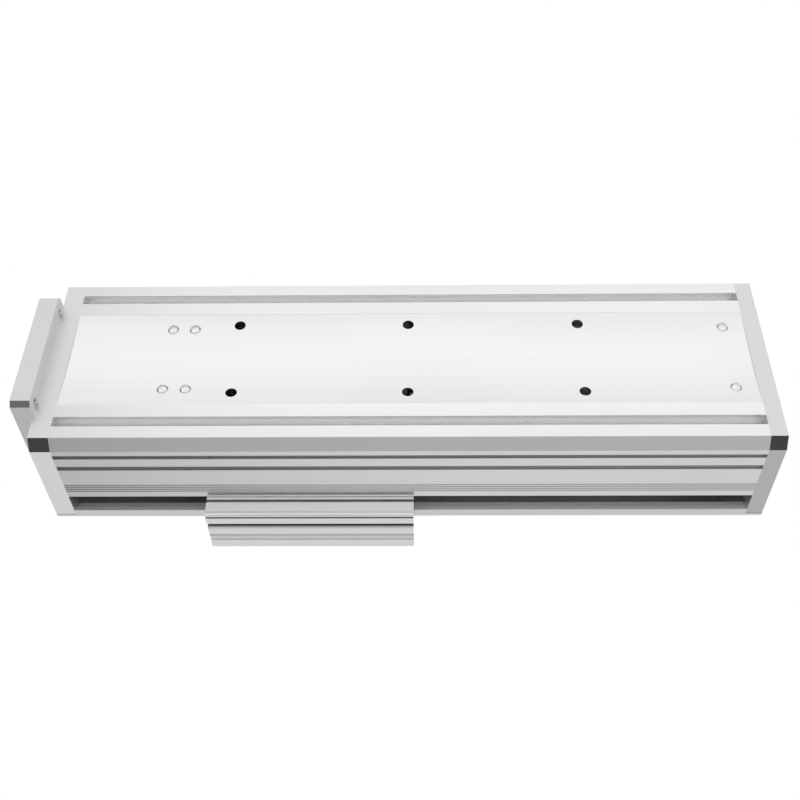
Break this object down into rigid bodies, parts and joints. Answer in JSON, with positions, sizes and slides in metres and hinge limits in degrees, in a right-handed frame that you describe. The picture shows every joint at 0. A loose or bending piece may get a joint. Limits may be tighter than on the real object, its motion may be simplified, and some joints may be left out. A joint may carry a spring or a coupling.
{
  "type": "ball screw linear module",
  "caption": "Enclosed ball screw linear stage: extruded aluminium base with T-slots, covered screw and rail guides, wide carriage with side wings, and a square motor flange.",
  "frame": {"origin": "middle of the mounting hole pattern, in the plane of the mounting face", "axes": "+X along the stroke away from the motor end, +Z from the mounting face towards the carriage table, +Y to the left seen from the motor end"},
  "size_m": [0.4275, 0.15, 0.0946],
  "materials": {
    "body_aluminium": "clear anodised, fine extrusion lines",
    "cover_aluminium": "clear anodised, fine extrusion lines",
    "end_plate_aluminium": "clear anodised, milled bevels left bright",
    "flange_aluminium": "clear anodised, milled",
    "carriage_aluminium": "clear anodised, drawn grooves",
    "housing_aluminium": "milled",
    "coupling_aluminium": "turned, clear anodised",
    "rail_steel": "ground and hardened",
    "block_steel": "ground",
    "screw_steel": "rolled and hardened, lightly oiled",
    "nut_steel": "ground, lightly oiled",
    "bearing_steel": "polished",
    "support_steel": "black oxide",
    "collar_steel": "turned",
    "bright_screws": "stainless",
    "black_screws": "black oxide",
    "black_rubber": "matt",
    "block_cap_plastic": "moulded",
    "plug_plastic": "moulded",
    "wiper_plastic": "moulded",
    "spider_rubber": "moulded polyurethane",
    "nipple_brass": "turned"
  },
  "bodies": {
    "frame": {"base_extrusion": "body_aluminium", "motor_end_plate": "end_plate_aluminium", "far_end_plate": "end_plate_aluminium", "top_cover": "cover_aluminium", "motor_flange": "flange_aluminium", "cover_screws": "bright_screws", "motor_plate_screws": "black_screws", "far_plate_screws": "black_screws", "motor_flange_screws": "black_screws", "left_guide_rail": "rail_steel", "right_guide_rail": "rail_steel", "rail_screws": "black_screws", "rail_hole_plugs": "plug_plastic", "fixed_support": "support_steel", "fixed_support_lid": "support_steel", "fixed_lid_screws": "black_screws", "fixed_outer_rings": "bearing_steel", "fixed_bearing_balls": "bearing_steel", "fixed_shaft_seals": "black_rubber", "fixed_support_screws": "bright_screws", "floating_support": "support_steel", "floating_outer_ring": "bearing_steel", "floating_bearing_balls": "bearing_steel", "floating_support_screws": "bright_screws", "motor_end_buffers": "black_rubber", "far_end_buffers": "black_rubber"},
    "screw": {"ball_screw": "screw_steel", "fixed_inner_rings": "bearing_steel", "shaft_collars": "collar_steel", "lock_nut": "collar_steel", "lock_nut_set_screw": "black_screws", "floating_inner_ring": "bearing_steel", "floating_circlip": "collar_steel", "screw_coupling_hub": "coupling_aluminium", "coupling_spider": "spider_rubber", "motor_coupling_hub": "coupling_aluminium", "coupling_clamp_screws": "black_screws"},
    "carriage": {"saddle_plate": "carriage_aluminium", "left_side_spacer": "carriage_aluminium", "right_side_spacer": "carriage_aluminium", "table_plate": "carriage_aluminium", "table_screws": "bright_screws", "left_front_block": "block_steel", "left_rear_block": "block_steel", "right_front_block": "block_steel", "right_rear_block": "block_steel", "block_end_caps": "block_cap_plastic", "block_end_seals": "black_rubber", "block_screws": "black_screws", "grease_nipples": "nipple_brass", "ball_nut": "nut_steel", "nut_wipers": "wiper_plastic", "nut_flange_screws": "black_screws", "nut_housing": "housing_aluminium", "nut_housing_screws": "black_screws"}
  },
  "joints": [
    {"name": "carriage_slide", "type": "slide", "parent": "frame", "child": "carriage", "axis": [1, 0, 0], "range_m": [0, 0.168]},
    {"name": "screw_spin", "type": "hinge", "parent": "frame", "child": "screw", "pos_m": [0, 0, 0.033], "axis": [1, 0, 0], "continuous": true}
  ],
  "couplings": [
    {"joint": "screw_spin", "follows": "carriage_slide", "rad_per_m": -628.32}
  ]
}
